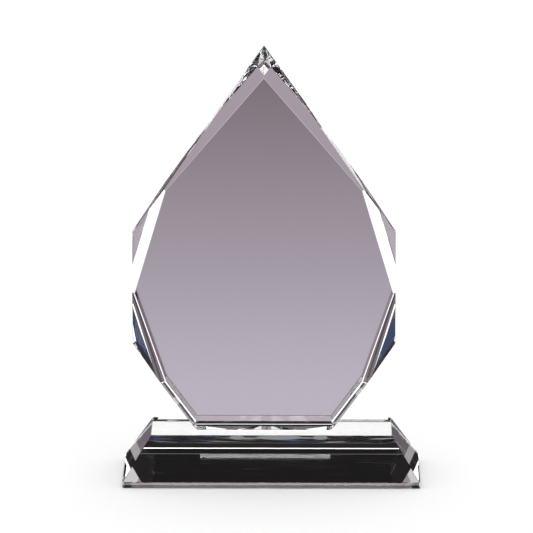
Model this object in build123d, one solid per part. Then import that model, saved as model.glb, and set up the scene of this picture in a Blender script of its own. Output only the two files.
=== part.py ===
from build123d import *
import os
from math import radians, tan

# A crystal award: a pear-shaped faceted plaque bonded on edge to a low crystal base
# with sloping sides.  Millimetres.  +Z is up, the front faces -Y, and the origin is
# the centre of the underside of the base.

# ---- driving dimensions ----------------------------------------------------------

# Base: a block with four sloping sides above a thin upright girdle.
BASE_WIDTH = 137.0
BASE_DEPTH = 59.0
BASE_HEIGHT = 22.5
GIRDLE_HEIGHT = 2.7
TABLE_WIDTH = 111.0
TABLE_DEPTH = 37.8

# Bond: the cured adhesive film between the foot of the plaque and the table.
FILM_THICKNESS = 0.15
FILM_MARGIN = 0.5
FILM_CORNER_RADIUS = 2.0

# Plaque: a slab standing on its narrow foot, a little left and forward of the middle of
# the table.  Its outline is given by half widths from its own centre line and by
# heights above the foot.
PLAQUE_X = -3.5
PLAQUE_Y = -3.6
PLAQUE_THICKNESS = 19.0
APEX_HEIGHT = 179.3
SIDE_HALF_WIDTH = 60.6
SHOULDER_HEIGHT = 92.8
HIP_HEIGHT = 39.9
FOOT_HALF_WIDTH = 31.0

# Flat panel left on each broad face between the ground facets, from its top corner
# down one side to its foot corner: half width, height above the foot.
PANEL_TOP = (0.0, 165.9)
PANEL_UPPER = (45.0, 113.6)
PANEL_SIDE = (59.4, 65.5)
PANEL_LOWER = (45.0, 24.0)
PANEL_FOOT = (31.0, 5.2)
FACET_ANGLE = 44.0

# Narrow polished flat left along every ground edge.
ARRIS_WIDTH = 0.3

# ---- derived dimensions ----------------------------------------------------------

HALF_THICKNESS = PLAQUE_THICKNESS / 2
FOOT_FACET_DEPTH = PANEL_FOOT[1] * tan(radians(FACET_ANGLE))
FOOT_DEPTH = PLAQUE_THICKNESS - 2 * FOOT_FACET_DEPTH
PLAQUE_FOOT_Z = BASE_HEIGHT + FILM_THICKNESS


def write(node, shape):
    """Write one node as parts/NODE.step."""
    shape.label = node
    export_step(shape, f"parts/{node}.step")


def ease_edges(solid):
    """Cut a flat of ARRIS_WIDTH along every edge of a convex solid with flat faces."""
    eased = solid
    for edge in solid.edges():
        first, second = [face.normal_at() for face in solid.faces() if edge in face.edges()]
        outward = first + second
        depth = ARRIS_WIDTH / 2 * (first - second).length / outward.length
        origin = edge.center() - outward.normalized() * depth
        eased = split(eased, bisect_by=Plane(origin, z_dir=outward), keep=Keep.BOTTOM)
    return eased


def crystal_base():
    """The pedestal: an upright girdle carrying four sides that slope in to the table."""
    girdle = Rectangle(BASE_WIDTH, BASE_DEPTH)
    girdle_top = Pos(0, 0, GIRDLE_HEIGHT) * girdle
    table = Pos(0, 0, BASE_HEIGHT) * Rectangle(TABLE_WIDTH, TABLE_DEPTH)
    block = extrude(girdle, GIRDLE_HEIGHT) + loft([girdle_top.face(), table.face()])
    return ease_edges(block)


def bond_film():
    """The clear adhesive film, a little smaller than the foot and round at its corners."""
    width = 2 * (FOOT_HALF_WIDTH - FILM_MARGIN)
    depth = FOOT_DEPTH - 2 * FILM_MARGIN
    outline = RectangleRounded(width, depth, FILM_CORNER_RADIUS)
    return Pos(PLAQUE_X, PLAQUE_Y, BASE_HEIGHT) * extrude(outline, FILM_THICKNESS)


def mirrored(points):
    """Points down the right side, then the same points back up the left side."""
    left = [(-x, z) for x, z in reversed(points) if x > 0]
    return points + left


def facet_plane(start, end, side):
    """Plane of a ground facet that leaves the broad face along the line start-end.

    side is -1 for the front of the plaque and 1 for the back.  The points run
    clockwise round the panel, so the facet falls away on their left.
    """
    y = side * HALF_THICKNESS
    along = Vector(end[0] - start[0], 0, end[1] - start[1]).normalized()
    outward = Vector(-along.Z, 0, along.X)
    normal = Vector(0, side, 0) + outward * tan(radians(FACET_ANGLE))
    return Plane(origin=(start[0], y, start[1]), z_dir=normal)


def crystal_plaque():
    """The award blade: a slab with nine facets ground round each broad face."""
    apex = (0.0, APEX_HEIGHT)
    shoulder = (SIDE_HALF_WIDTH, SHOULDER_HEIGHT)
    hip = (SIDE_HALF_WIDTH, HIP_HEIGHT)
    foot = (FOOT_HALF_WIDTH, 0.0)
    outline = Plane.XZ * make_face(Polyline(*mirrored([apex, shoulder, hip, foot]), close=True))
    blade = extrude(outline, HALF_THICKNESS, both=True)
    panel = mirrored([PANEL_TOP, PANEL_UPPER, PANEL_SIDE, PANEL_LOWER, PANEL_FOOT])
    for start, end in zip(panel, panel[1:] + panel[:1]):
        for side in (-1, 1):
            blade = split(blade, bisect_by=facet_plane(start, end, side), keep=Keep.BOTTOM)
    return Pos(PLAQUE_X, PLAQUE_Y, PLAQUE_FOOT_Z) * ease_edges(blade)


def main():
    os.makedirs("parts", exist_ok=True)
    write("crystal_base", crystal_base())
    write("bond_film", bond_film())
    write("crystal_plaque", crystal_plaque())


main()
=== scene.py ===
import bpy
import bmesh
from math import cos, radians, sin, sqrt
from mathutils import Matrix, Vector

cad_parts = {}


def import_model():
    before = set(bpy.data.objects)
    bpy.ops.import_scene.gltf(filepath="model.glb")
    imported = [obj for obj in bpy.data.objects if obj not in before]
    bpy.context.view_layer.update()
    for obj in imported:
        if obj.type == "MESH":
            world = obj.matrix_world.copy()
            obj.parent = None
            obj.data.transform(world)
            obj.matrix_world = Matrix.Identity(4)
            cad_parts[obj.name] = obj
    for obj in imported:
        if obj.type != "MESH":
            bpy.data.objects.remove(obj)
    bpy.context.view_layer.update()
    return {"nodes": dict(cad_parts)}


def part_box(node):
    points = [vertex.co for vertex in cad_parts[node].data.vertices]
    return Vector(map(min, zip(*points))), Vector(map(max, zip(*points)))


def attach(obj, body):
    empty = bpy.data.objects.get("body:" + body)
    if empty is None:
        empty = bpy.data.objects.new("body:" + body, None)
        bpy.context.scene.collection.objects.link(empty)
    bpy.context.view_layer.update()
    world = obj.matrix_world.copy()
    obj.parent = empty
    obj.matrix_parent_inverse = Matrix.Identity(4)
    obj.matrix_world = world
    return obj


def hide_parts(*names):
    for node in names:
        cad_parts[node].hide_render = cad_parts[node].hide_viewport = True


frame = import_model()

# A crystal award in a small photographic studio.  Metres, in the frame of the CAD model:
# +Z is up, the front faces -Y, and the origin is the centre of the underside of the base.
#
# The camera sees the award on a white floor under a white sky.  The crystal sees neither.
# It shows, by refraction and reflection, the cards of the studio round it: a mauve tent
# that darkens towards the horizon and is black above it, patches on the tent, lights
# overhead, and a shallow lit well under the base.
# Threads behind the plaque, on the camera's lines of sight, paint highlights and shade lines on
# its lower front facets.

MM = 0.001
ACROSS = Vector((0, 1, 0))
UP = Vector((0, 0, 1))

base_low, base_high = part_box("crystal_base")
film_low, film_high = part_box("bond_film")
plaque_low, plaque_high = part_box("crystal_plaque")

# ---- camera place ----------------------------------------------------------------

# In front of the award, a little to its right and above it.
CAMERA_ELEVATION = radians(11.5)
CAMERA_AZIMUTH = radians(0.5)
CAMERA_DISTANCE = 2.987
CAMERA_TARGET = Vector((-2.4 * MM, 0.0, 98.1 * MM))
CAMERA_LENS = 437.3
CAMERA_SENSOR = 36.0
CAMERA_REACH = 50.0
EYE = CAMERA_TARGET + CAMERA_DISTANCE * Vector(
    (
        sin(CAMERA_AZIMUTH) * cos(CAMERA_ELEVATION),
        -cos(CAMERA_AZIMUTH) * cos(CAMERA_ELEVATION),
        sin(CAMERA_ELEVATION),
    )
)

# ---- crystal sizes ---------------------------------------------------------------

CRYSTAL_IOR = 1.52

# The slow waves that polishing leaves: on the broad faces, and on the upright edges.
POLISH_LENGTH = 18 * MM
POLISH_DEPTH = 0.0006 * MM
EDGE_LENGTH = 14 * MM
EDGE_DEPTH = 0.15 * MM

# Corners of the CAD mesh nearer than WELD are one, and faces that turn by less than
# FLAT_TURN are one flat face.  CUT_SLACK is the slack of a cut through a face.
WELD = 0.002 * MM
FLAT_TURN = radians(0.2)
CUT_SLACK = 0.0001 * MM

# A face is in the plane of the bond within CONTACT_MARGIN, and stands square to an axis
# when its normal's share along that axis is under SQUARE_FACET.
CONTACT_MARGIN = 0.1 * MM
SQUARE_FACET = 0.02

# Material slots of a crystal piece.
CLEAR, CONTACT, EDGE = range(3)

# ---- studio sizes ----------------------------------------------------------------

# BLACK is the near-black of unlit cloth.
WHITE = (1.0, 1.0, 1.0)
BLACK = (0.0125, 0.0115, 0.012)

# What the plain cards glow with: (colour, strength).
GLOWS = {
    "patch": (WHITE, 1.3),
    "side": (WHITE, 1.5),
    "strip": (WHITE, 1.3),
    "ceiling": (WHITE, 0.9),
    "key": (WHITE, 7.5),
    "pale": ((0.55, 0.53, 0.54), 1.0),
    "pink": ((0.46, 0.40, 0.45), 1.0),
    "dusk": ((0.245, 0.200, 0.235), 1.0),
    "navy": ((0.075, 0.082, 0.130), 1.0),
    "indigo": ((0.020, 0.045, 0.110), 1.0),
    # The next two glow on the threads that paint shade lines and a grey line on the plaque's
    # facets.
    "painted_shade": ((0.055, 0.050, 0.058), 1.0),
    "painted_grey": ((0.30, 0.27, 0.29), 1.0),
    "mat": ((1.0, 0.93, 0.95), 0.02),
    "mat_rim": ((1.0, 0.995, 0.985), 4.0),
    "well_side": ((1.0, 0.995, 0.985), 1.55),
    "well_top": ((0.62, 0.58, 0.60), 1.0),
    "oval": ((0.260, 0.275, 0.295), 1.0),
}

# The tent is a drum round the award.  What the crystal sees of it, by height on the
# drum: (height, colour).
TENT_RADIUS = 2.0
TENT_STOPS = [
    (-1.60, (0.420, 0.360, 0.415)),
    (-1.00, (0.405, 0.342, 0.392)),
    (-0.84, (0.395, 0.335, 0.385)),
    (-0.66, (0.410, 0.352, 0.405)),
    (-0.48, (0.520, 0.476, 0.551)),
    (-0.40, (0.492, 0.451, 0.523)),
    (-0.36, (0.444, 0.400, 0.460)),
    (-0.31, (0.372, 0.332, 0.390)),
    (-0.26, (0.320, 0.275, 0.317)),
    (-0.21, (0.258, 0.219, 0.253)),
    (-0.16, (0.202, 0.168, 0.192)),
    (-0.10, (0.185, 0.148, 0.170)),
    (0.02, (0.150, 0.120, 0.138)),
    (0.14, BLACK),
    (0.635, BLACK),
    (0.65, (0.515, 0.440, 0.500)),
    (0.735, (0.530, 0.455, 0.512)),
    (0.745, BLACK),
    (0.80, BLACK),
]
TENT_LOW = TENT_STOPS[0][0]
TENT_HIGH = TENT_STOPS[-1][0]

# Patches inside the tent, repeated so that all four sides agree: name, azimuths in
# degrees, heights, glow, distance from the middle.
PATCHES = [
    ("low_patch", (11, 21), (-0.57, -0.40), "patch", 1.96),
    ("wide_patch", (21, 31), (-0.68, -0.43), "patch", 1.96),
    ("mid_patch", (15, 23.5), (0.00, 0.22), "patch", 1.95),
    ("pale_patch", (24.5, 31), (-0.06, 0.12), "pale", 1.95),
    ("dusk_patch", (17, 31), (0.22, 0.46), "dusk", 1.94),
    ("pink_patch", (31, 45), (0.45, 0.80), "pink", 1.94),
    ("navy_patch", (65, 80), (-0.80, -0.28), "navy", 1.95),
    ("side_card", (58, 80), (0.36, 0.84), "side", 1.90),
    ("horizon_line", (-12, 12), (0.004, 0.055), "patch", 1.95),
    ("side_dusk", (80, 90), (0.15, 0.95), "dusk", 1.90),
    ("strip_light", (40, 60), (1.12, 1.45), "strip", 1.90),
    ("indigo_patch", (67, 74), (0.58, 0.76), "indigo", 1.88),
]

# Degrees of turn between the corners of a patch, and between those of a round card.
PATCH_STEP = 3
ROUND_STEP = 15

# Lights overhead: a wide ceiling, and a key light before and behind the middle.
CEILING = (-1.0, 1.0, -0.75, 0.75)
CEILING_HEIGHT = 1.05
KEY_HALF_WIDTH = 0.25
KEY_REACH = (0.30, 0.50)
KEY_HEIGHT = 1.04

# Clearance between things that would otherwise lie in one plane.
GAP = 0.2 * MM

# The mat round the base: its outer margin, and where the bright rim in it starts and
# ends, both measured out from the base's footprint.
MAT_MARGIN = 45 * MM
MAT_RIM = (7 * MM, 14 * MM)

# The well under the mat: how far it reaches past the footprint, how deep it is, and the
# bands of its sides from the top down.
WELL_REACH = 80 * MM
WELL_DEPTH = 45 * MM
WELL_BANDS = (0.0, 14 * MM, 28 * MM, WELL_DEPTH)
WELL_BAND_GLOWS = ("well_top", "well_side", "mat")

# Colours of the threads on the well's floor, by the noise that draws them.
WELL_FLOOR_STOPS = [
    (0.00, (0.08, 0.14, 0.36)),
    (0.36, (0.04, 0.07, 0.16)),
    (0.42, (0.003, 0.003, 0.005)),
    (0.57, (0.004, 0.003, 0.003)),
    (0.61, (0.12, 0.075, 0.035)),
    (0.69, (0.50, 0.51, 0.53)),
]

# White patches on the well's floor before and behind the base: how far from its front or
# back they start and end, and their width as a share of the base's.
WELL_PATCH_REACH = (9 * MM, 24 * MM)
WELL_PATCH_SHARE = 0.8

# Ovals on the well's floor, in a row before and behind the middle: (place, half width).
OVALS = [(-17 * MM, 3.5 * MM), (3 * MM, 11 * MM), (22.5 * MM, 3.5 * MM)]
OVAL_REACH = 6.1 * MM
OVAL_HALF_DEPTH = 1.1 * MM

# How the plaque's lower front facets are told apart.  A ground facet's normal has a y
# within FRONT_FACING, and smaller faces than FACET_AREA are the flats along the edges.
# The hips' normals have a z under HIP_TILT and the lowest sides' under LOW_TILT, and the
# foot's has an x within FOOT_TURN of nothing.
FRONT_FACING = (-0.85, -0.60)
FACET_AREA = 20 * MM * MM
HIP_TILT = -0.1
LOW_TILT = -0.3
FOOT_TURN = 0.1

# Corners of a facet within PANEL_BAND of the front panel are on the panel's edge.
PANEL_BAND = 0.5 * MM

# Painted highlights, painted shade lines and a painted grey line on those facets, drawn by
# threads that hang THREAD_REACH behind the plaque on the camera's lines of sight.
# For each kind of facet: name, share of the way across, width, glow.
THREAD_REACH = 950 * MM
PAINTED_FACET_LINES = {
    "foot": [("foot_highlight", 0.50, 1.0 * MM, "patch"), ("foot_shade_line", 0.62, 1.0 * MM, "painted_shade")],
    "low": [("low_shade_line", 0.48, 2.0 * MM, "painted_shade"), ("low_grey_line", 0.06, 1.2 * MM, "painted_grey")],
    "hip": [("hip_highlight", 0.97, 1.2 * MM, "patch"), ("hip_shade_line", 0.20, 1.2 * MM, "painted_shade")],
}
# A painted highlight cuts off each hip's corner: how far towards the corner it lies, and its
# width.
HIP_HIGHLIGHT_SHARE = 0.21
HIP_HIGHLIGHT_WIDTH = 1.1 * MM

# What the camera sees round the award.
FLOOR_REACH = 12
FLOOR_GREY = 0.93
SKY_STRENGTH = 1.15

# ---- helpers ---------------------------------------------------------------------


def new_object(name, data):
    """Link a mesh or a camera into the scene under a name."""
    thing = bpy.data.objects.new(name, data)
    bpy.context.scene.collection.objects.link(thing)
    return thing


def studio_mesh(name, points, faces, material):
    """A thing of the studio, which isn't part of the award."""
    mesh = bpy.data.meshes.new(name)
    mesh.from_pydata([tuple(point) for point in points], [], faces)
    mesh.materials.append(material)
    thing = new_object(name, mesh)
    return thing


def hide_from_camera(thing):
    """Leave a thing to the crystal: the camera and the floor don't see it."""
    thing.visible_camera = False
    thing.visible_diffuse = False
    thing.visible_shadow = False


def card(name, corners, material):
    """A flat card of the studio, for the crystal alone."""
    hide_from_camera(studio_mesh(name, corners, [tuple(range(len(corners)))], material))


def rectangle(low_x, high_x, low_y, high_y, z):
    """Corners of a level rectangle."""
    return [(low_x, low_y, z), (high_x, low_y, z), (high_x, high_y, z), (low_x, high_y, z)]


def node_material(name):
    """An empty node material with its output node: (material, nodes, links, output)."""
    material = bpy.data.materials.new(name)
    material.use_nodes = True
    nodes, links = material.node_tree.nodes, material.node_tree.links
    nodes.clear()
    return material, nodes, links, nodes.new("ShaderNodeOutputMaterial")


def stretched_noise(nodes, links, scale, stretch, detail):
    """A noise pattern fixed to the object; stretch divides its scale along x, y and z."""
    place = nodes.new("ShaderNodeTexCoord")
    mapping = nodes.new("ShaderNodeMapping")
    mapping.inputs["Scale"].default_value = [scale / s for s in stretch]
    noise = nodes.new("ShaderNodeTexNoise")
    noise.inputs["Scale"].default_value = 1.0
    noise.inputs["Detail"].default_value = detail
    links.new(place.outputs["Object"], mapping.inputs["Vector"])
    links.new(mapping.outputs["Vector"], noise.inputs["Vector"])
    return noise.outputs["Fac"]


def ramp(nodes, links, value, stops):
    """A colour ramp over a value; stops are (place, colour) from low to high."""
    node = nodes.new("ShaderNodeValToRGB")
    links.new(value, node.inputs["Fac"])
    elements = node.color_ramp.elements
    elements.remove(elements[-1])
    for index, (place, colour) in enumerate(stops):
        element = elements[0] if index == 0 else elements.new(place)
        element.position = place
        element.color = (*colour, 1.0)
    return node.outputs["Color"]


def grey(value):
    """A neutral colour."""
    return (value, value, value)


# ---- crystal and adhesive --------------------------------------------------------


def crystal(name, wave_length, wave_depth):
    """Optical crystal, polished: clear, with faint striae and hair-fine handling marks.

    wave_length and wave_depth describe the slow waviness that polishing leaves.
    """
    material, nodes, links, output = node_material(name)
    shader = nodes.new("ShaderNodeBsdfPrincipled")
    shader.inputs["Transmission Weight"].default_value = 1.0
    shader.inputs["IOR"].default_value = CRYSTAL_IOR
    striae = stretched_noise(nodes, links, scale=60.0, stretch=(1.0, 1.0, 5.0), detail=2.0)
    tint = ramp(nodes, links, striae, [(0.3, (0.990, 0.989, 0.992)), (0.7, grey(1.0))])
    links.new(tint, shader.inputs["Base Color"])
    marks = stretched_noise(nodes, links, scale=2500.0, stretch=(12.0, 1.0, 1.5), detail=1.0)
    haze = ramp(nodes, links, marks, [(0.0, grey(0.0)), (0.80, grey(0.0)), (0.84, grey(0.12))])
    links.new(haze, shader.inputs["Roughness"])
    waves = stretched_noise(
        nodes, links, scale=1.0 / wave_length, stretch=(1.0, 1.0, 1.0), detail=1.0
    )
    bump = nodes.new("ShaderNodeBump")
    bump.inputs["Strength"].default_value = 1.0
    bump.inputs["Distance"].default_value = wave_depth
    links.new(waves, bump.inputs["Height"])
    links.new(bump.outputs["Normal"], shader.inputs["Normal"])
    links.new(shader.outputs[0], output.inputs["Surface"])
    return material


def contact(name):
    """The inner faces of the bond, where matched adhesive leaves nothing to see."""
    material, nodes, links, output = node_material(name)
    shader = nodes.new("ShaderNodeBsdfTransparent")
    links.new(shader.outputs[0], output.inputs["Surface"])
    return material


def adhesive(name):
    """Clear cured adhesive: nothing to see but a few small bubbles and a trace of haze."""
    material, nodes, links, output = node_material(name)
    clear = nodes.new("ShaderNodeBsdfTransparent")
    haze = stretched_noise(nodes, links, scale=120.0, stretch=(2.0, 1.0, 1.0), detail=3.0)
    tint = ramp(nodes, links, haze, [(0.3, (0.93, 0.94, 0.95)), (0.7, grey(1.0))])
    links.new(tint, clear.inputs["Color"])
    place = nodes.new("ShaderNodeTexCoord")
    cells = nodes.new("ShaderNodeTexVoronoi")
    cells.inputs["Scale"].default_value = 220.0
    links.new(place.outputs["Object"], cells.inputs["Vector"])
    rim = ramp(nodes, links, cells.outputs["Distance"], [(0.0, grey(1.0)), (0.07, grey(0.0))])
    bubble = nodes.new("ShaderNodeBsdfPrincipled")
    bubble.inputs["Base Color"].default_value = (*grey(0.9), 1.0)
    bubble.inputs["Roughness"].default_value = 0.4
    mix = nodes.new("ShaderNodeMixShader")
    links.new(rim, mix.inputs["Fac"])
    links.new(clear.outputs[0], mix.inputs[1])
    links.new(bubble.outputs[0], mix.inputs[2])
    links.new(mix.outputs[0], output.inputs["Surface"])
    return material


# ---- award -----------------------------------------------------------------------


def flat_solid(node):
    """A copy of a CAD node's mesh in which each flat face is one polygon."""
    shape = bmesh.new()
    shape.from_mesh(frame["nodes"][node].data)
    bmesh.ops.remove_doubles(shape, verts=shape.verts, dist=WELD)
    bmesh.ops.dissolve_limit(shape, angle_limit=FLAT_TURN, verts=shape.verts, edges=shape.edges)
    return shape


def in_joint(face, joint_face):
    """Whether a face lies at the height of the joint face."""
    return abs(face.calc_center_median().z - joint_face) < CONTACT_MARGIN


def cut_out_bond(shape, joint_face):
    """Cut the film's rectangle into the joint face, as a face of its own."""
    cuts = [
        (film_low, Vector((-1, 0, 0))),
        (film_high, Vector((1, 0, 0))),
        (film_low, Vector((0, -1, 0))),
        (film_high, Vector((0, 1, 0))),
    ]
    for point, normal in cuts:
        wet = [face for face in shape.faces if in_joint(face, joint_face)]
        edges = {edge for face in wet for edge in face.edges}
        bmesh.ops.bisect_plane(
            shape, geom=wet + list(edges), plane_co=point, plane_no=normal, dist=CUT_SLACK
        )


def crystal_piece(name, node, slot, joint_face, edge_axis):
    """A carried-over CAD solid with clean flat faces, its bonded patch cut out as a face.

    joint_face is the height of the face that the adhesive wets.  Faces that stand square
    to edge_axis get the slightly wavier polish of an edge.
    """
    shape = flat_solid(node)
    cut_out_bond(shape, joint_face)
    for face in shape.faces:
        face.smooth = False
        centre = face.calc_center_median()
        joined = (
            in_joint(face, joint_face)
            and film_low.x < centre.x < film_high.x
            and film_low.y < centre.y < film_high.y
        )
        square = abs(face.normal.dot(edge_axis)) < SQUARE_FACET and not joined
        face.material_index = CONTACT if joined else EDGE if square else CLEAR
    mesh = bpy.data.meshes.new(name)
    shape.to_mesh(mesh)
    shape.free()
    mesh.materials.append(crystal(slot, POLISH_LENGTH, POLISH_DEPTH))
    mesh.materials.append(contact(name + "_contact"))
    mesh.materials.append(crystal(slot + "_edge", EDGE_LENGTH, EDGE_DEPTH))
    piece = new_object(name, mesh)
    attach(piece, "root")
    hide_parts(node)
    return piece


plaque = crystal_piece("plaque", "crystal_plaque", "plaque_crystal", plaque_low.z, ACROSS)
crystal_piece("base", "crystal_base", "base_crystal", base_high.z, UP)

film = frame["nodes"]["bond_film"]
film.data.materials.clear()
film.data.materials.append(adhesive("cured_adhesive"))

# ---- studio: glows ---------------------------------------------------------------


def emitter(name):
    """A material that only glows: (material, nodes, links, emission).

    The crystal's own rays find the cards, so none of them is sampled as a lamp.
    """
    material, nodes, links, output = node_material(name)
    emission = nodes.new("ShaderNodeEmission")
    links.new(emission.outputs[0], output.inputs["Surface"])
    material.cycles.emission_sampling = "NONE"
    return material, nodes, links, emission


def glow(name, colour, strength):
    """A glow that is the same all over a card."""
    material, _, _, emission = emitter(name)
    emission.inputs["Color"].default_value = (*colour, 1.0)
    emission.inputs["Strength"].default_value = strength
    return material


def tent_glow():
    """A glow whose colour follows the height of the point that a ray meets."""
    material, nodes, links, emission = emitter("tent_glow")
    place = nodes.new("ShaderNodeNewGeometry")
    split = nodes.new("ShaderNodeSeparateXYZ")
    links.new(place.outputs["Position"], split.inputs[0])
    height = nodes.new("ShaderNodeMapRange")
    height.inputs["From Min"].default_value = TENT_LOW
    height.inputs["From Max"].default_value = TENT_HIGH
    links.new(split.outputs["Z"], height.inputs["Value"])
    stops = [((z - TENT_LOW) / (TENT_HIGH - TENT_LOW), colour) for z, colour in TENT_STOPS]
    links.new(ramp(nodes, links, height.outputs["Result"], stops), emission.inputs["Color"])
    return material


def well_floor_glow():
    """Near-black, with faint brown, blue and pale threads that run along the base."""
    material, nodes, links, emission = emitter("well_floor_glow")
    threads = stretched_noise(nodes, links, scale=1500.0, stretch=(30.0, 1.0, 1.0), detail=3.0)
    links.new(ramp(nodes, links, threads, WELL_FLOOR_STOPS), emission.inputs["Color"])
    return material


glows = {name: glow(f"{name}_glow", *look) for name, look in GLOWS.items()}

# ---- studio: mat and well --------------------------------------------------------


def grown(rect, margin):
    """A rectangle (low x, high x, low y, high y) with a margin added all round."""
    return (rect[0] - margin, rect[1] + margin, rect[2] - margin, rect[3] + margin)


def frame_strips(name, inner, outer, material):
    """A flat frame of four strips between two rectangles, just under the base."""
    a0, a1, b0, b1 = inner
    c0, c1, d0, d1 = outer
    strips = [(c0, a0, d0, d1), (a1, c1, d0, d1), (a0, a1, d0, b0), (a0, a1, b1, d1)]
    for index, strip in enumerate(strips):
        card(f"{name}_{index}", rectangle(*strip, -GAP), material)


def mat(foot):
    """A black mat round the base's footprint, with a bright rim let into it."""
    rim_start, rim_end = [grown(foot, margin) for margin in MAT_RIM]
    frame_strips("mat_inner", foot, rim_start, glows["mat"])
    frame_strips("mat_rim", rim_start, rim_end, glows["mat_rim"])
    frame_strips("mat_outer", rim_end, grown(foot, MAT_MARGIN), glows["mat"])


def oval(name, x, y, half_width, z, material):
    """A flat oval card."""
    turns = [radians(turn) for turn in range(0, 360, ROUND_STEP)]
    points = [(x + half_width * cos(t), y + OVAL_HALF_DEPTH * sin(t), z) for t in turns]
    card(name, points, material)


def well_floor(edge):
    """The well's dark floor, with white patches and small ovals on it."""
    bottom = -GAP - WELL_DEPTH
    on_floor = bottom + GAP
    card("well_floor", rectangle(*edge, bottom), well_floor_glow())
    left, right = WELL_PATCH_SHARE * base_low.x, WELL_PATCH_SHARE * base_high.x
    for row, way in enumerate((-1, 1)):
        near, far = [way * (base_high.y + reach) for reach in WELL_PATCH_REACH]
        patch = rectangle(left, right, near, far, on_floor)
        card(f"well_patch_{row}", patch, glows["well_side"])
        for index, (x, half_width) in enumerate(OVALS):
            name = f"oval_{row}_{index}"
            oval(name, x, way * OVAL_REACH, half_width, on_floor, glows["oval"])


def well_sides(edge):
    """The well's four upright sides, in bands from the top down."""
    x0, x1, y0, y1 = edge
    corners = [(x0, y0), (x1, y0), (x1, y1), (x0, y1)]
    sides = list(zip(corners, corners[1:] + corners[:1]))
    for band, (top, bottom, paint) in enumerate(zip(WELL_BANDS, WELL_BANDS[1:], WELL_BAND_GLOWS)):
        high, low = -GAP - top, -GAP - bottom
        for index, (a, b) in enumerate(sides):
            points = [(*a, high), (*b, high), (*b, low), (*a, low)]
            card(f"well_side_{band}_{index}", points, glows[paint])


# ---- studio: tent and lights -----------------------------------------------------


def drum_point(azimuth, height, radius):
    """A point on a drum round the award; azimuth 0 is behind it, 90 on its right."""
    return (radius * sin(radians(azimuth)), radius * cos(radians(azimuth)), height)


def drum_patch(name, azimuths, heights, material, radius):
    """A curved card on a drum, between two azimuths in degrees and two heights."""
    start, stop = azimuths
    count = max(2, round((stop - start) / PATCH_STEP))
    turns = [start + (stop - start) * i / count for i in range(count + 1)]
    points = [drum_point(turn, height, radius) for height in heights for turn in turns]
    faces = [(i, i + 1, i + 2 + count, i + 1 + count) for i in range(count)]
    hide_from_camera(studio_mesh(name, points, faces, material))


def four_ways(name, azimuths, heights, material, radius):
    """The same patch in all four quarters, so that front, back, left and right agree.

    A patch that crosses azimuth 0 is its own mirror image, so it stands twice.
    """
    near, far = azimuths
    quarters = [(near, far), (180 - far, 180 - near), (180 + near, 180 + far), (-far, -near)]
    for index, turns in enumerate(quarters[:2] if near < 0 else quarters):
        drum_patch(f"{name}_{index}", turns, heights, material, radius)


def tent():
    """The tent's side and bottom, and the patches inside it."""
    cloth = tent_glow()
    drum_patch("tent", (0, 360), (TENT_LOW, TENT_HIGH), cloth, TENT_RADIUS)
    rim = [drum_point(turn, TENT_LOW, TENT_RADIUS) for turn in range(0, 360, ROUND_STEP)]
    card("tent_bottom", rim, cloth)
    for name, azimuths, heights, paint, radius in PATCHES:
        four_ways(name, azimuths, heights, glows[paint], radius)


def overhead():
    """The ceiling, and the two key lights just under it."""
    card("ceiling", rectangle(*CEILING, CEILING_HEIGHT), glows["ceiling"])
    for name, way in (("key_light_front", -1), ("key_light_back", 1)):
        low_y, high_y = sorted(way * reach for reach in KEY_REACH)
        corners = rectangle(-KEY_HALF_WIDTH, KEY_HALF_WIDTH, low_y, high_y, KEY_HEIGHT)
        card(name, corners, glows["key"])


# ---- studio: threads that paint highlights and shade lines -----------------------


def refract(ray, normal, ratio):
    """A ray bent at a surface; ratio is the index it leaves over the index it enters."""
    cos_in = -ray.dot(normal)
    cos_out = sqrt(1 - ratio**2 * (1 - cos_in**2))
    return ratio * ray + (ratio * cos_in - cos_out) * normal


def sight_line(point, normal):
    """Where a line of sight from EYE, through a front facet and the back panel, ends."""
    inside = refract((point - EYE).normalized(), normal, 1 / CRYSTAL_IOR)
    leaves = point + inside * (plaque_high.y - point.y) / inside.y
    return leaves + THREAD_REACH * refract(inside, -ACROSS, CRYSTAL_IOR)


def facet_rows(facet):
    """Corners of a front facet on the outline, and on the front panel, in the same order."""
    corners = [plaque.data.vertices[index].co for index in facet.vertices]
    inner = [c for c in corners if c.y <= plaque_low.y + PANEL_BAND]
    outer = [c for c in corners if c.y > plaque_low.y + PANEL_BAND]
    along = inner[1] - inner[0]
    return [sorted(row, key=lambda c: c.dot(along)) for row in (outer, inner)]


def across(facet, share):
    """Ends of a line along a front facet: share 0 is on the outline, 1 on the front panel."""
    outer, inner = facet_rows(facet)
    return [outer[end].lerp(inner[end], share) for end in (0, -1)]


def round_corner(facet, share):
    """Ends of a line that cuts off a hip's corner: share 1 is on the corner."""
    outer, _ = facet_rows(facet)
    return [outer[end].lerp(outer[1], share) for end in (0, -1)]


def thread(name, facet, ends, width, material):
    """A thin glowing strip behind the plaque, seen from EYE as a line painted on a front facet: a
    painted highlight when the strip is bright, a painted shade line when it is dark.
    """
    start, stop = [sight_line(end, facet.normal) for end in ends]
    side_step = (stop - start).cross(start - EYE).normalized() * width / 2
    corners = [start - side_step, stop - side_step, stop + side_step, start + side_step]
    card(name, corners, material)


def facet_kind(face):
    """Which lower front facet of the plaque a face is, or None."""
    ground = FRONT_FACING[0] < face.normal.y < FRONT_FACING[1] and face.area > FACET_AREA
    if not ground or face.normal.z > HIP_TILT:
        return None
    if abs(face.normal.x) < FOOT_TURN:
        return "foot"
    return "low" if face.normal.z < LOW_TILT else "hip"


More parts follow.
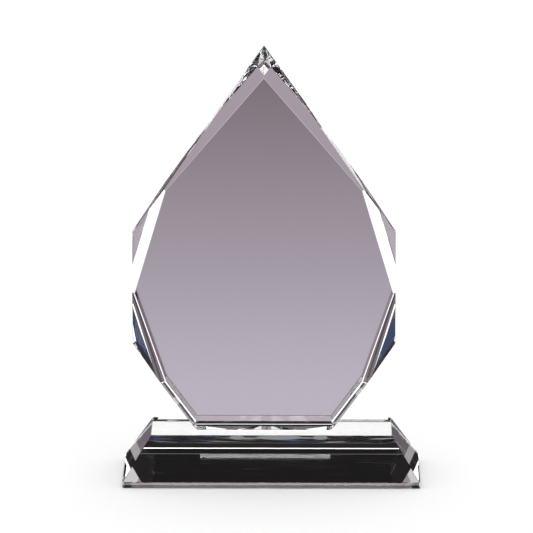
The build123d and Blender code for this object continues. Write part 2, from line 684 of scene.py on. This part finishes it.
def painted_facet_lines():
    """Painted highlights, shade lines and a grey line on the plaque's lower front facets, drawn
    by threads on the camera's lines of sight.
    """
    for face in plaque.data.polygons:
        kind = facet_kind(face)
        for line, share, width, paint in PAINTED_FACET_LINES.get(kind, []):
            name = line if kind == "foot" else f"{line}_{face.index}"
            thread(name, face, across(face, share), width, glows[paint])
        if kind == "hip":
            ends = round_corner(face, HIP_HIGHLIGHT_SHARE)
            thread(f"hip_corner_highlight_{face.index}", face, ends, HIP_HIGHLIGHT_WIDTH, glows["patch"])


# ---- floor, sky and camera -------------------------------------------------------


def floor():
    """The pale floor that the camera sees and the crystal doesn't."""
    material, nodes, links, output = node_material("floor_paper")
    shader = nodes.new("ShaderNodeBsdfDiffuse")
    shader.inputs["Color"].default_value = (*grey(FLOOR_GREY), 1.0)
    links.new(shader.outputs[0], output.inputs["Surface"])
    corners = rectangle(-FLOOR_REACH, FLOOR_REACH, -FLOOR_REACH, FLOOR_REACH, -GAP)
    paper = studio_mesh("floor", corners, [(0, 1, 2, 3)], material)
    paper.visible_transmission = False
    paper.visible_glossy = False


def world():
    """White sky for the camera and the floor, black beyond the studio for the crystal."""
    sky = bpy.data.worlds.new("studio")
    bpy.context.scene.world = sky
    sky.use_nodes = True
    nodes, links = sky.node_tree.nodes, sky.node_tree.links
    nodes.clear()
    output = nodes.new("ShaderNodeOutputWorld")
    path = nodes.new("ShaderNodeLightPath")
    white = nodes.new("ShaderNodeBackground")
    white.inputs["Color"].default_value = (*WHITE, 1.0)
    white.inputs["Strength"].default_value = SKY_STRENGTH
    black = nodes.new("ShaderNodeBackground")
    black.inputs["Color"].default_value = (*BLACK, 1.0)
    either = nodes.new("ShaderNodeMath")
    either.operation = "MAXIMUM"
    links.new(path.outputs["Is Transmission Ray"], either.inputs[0])
    links.new(path.outputs["Is Glossy Ray"], either.inputs[1])
    mix = nodes.new("ShaderNodeMixShader")
    links.new(either.outputs[0], mix.inputs["Fac"])
    links.new(white.outputs[0], mix.inputs[1])
    links.new(black.outputs[0], mix.inputs[2])
    links.new(mix.outputs[0], output.inputs["Surface"])


def camera():
    """The camera, which stands at EYE and looks at CAMERA_TARGET."""
    data = bpy.data.cameras.new("camera")
    data.lens = CAMERA_LENS
    data.sensor_width = CAMERA_SENSOR
    data.clip_end = CAMERA_REACH
    thing = new_object("camera", data)
    thing.location = EYE
    thing.rotation_euler = (CAMERA_TARGET - EYE).to_track_quat("-Z", "Y").to_euler()
    bpy.context.scene.camera = thing


footprint = (base_low.x, base_high.x, base_low.y, base_high.y)
mat(footprint)
well_floor(grown(footprint, WELL_REACH))
well_sides(grown(footprint, WELL_REACH))
tent()
overhead()
painted_facet_lines()
floor()
world()
camera()

# Light turns back inside the crystal many times before it leaves.
scene = bpy.context.scene
scene.view_settings.view_transform = "Standard"
scene.cycles.max_bounces = 24
scene.cycles.transmission_bounces = 24
scene.cycles.glossy_bounces = 16
scene.cycles.transparent_max_bounces = 32
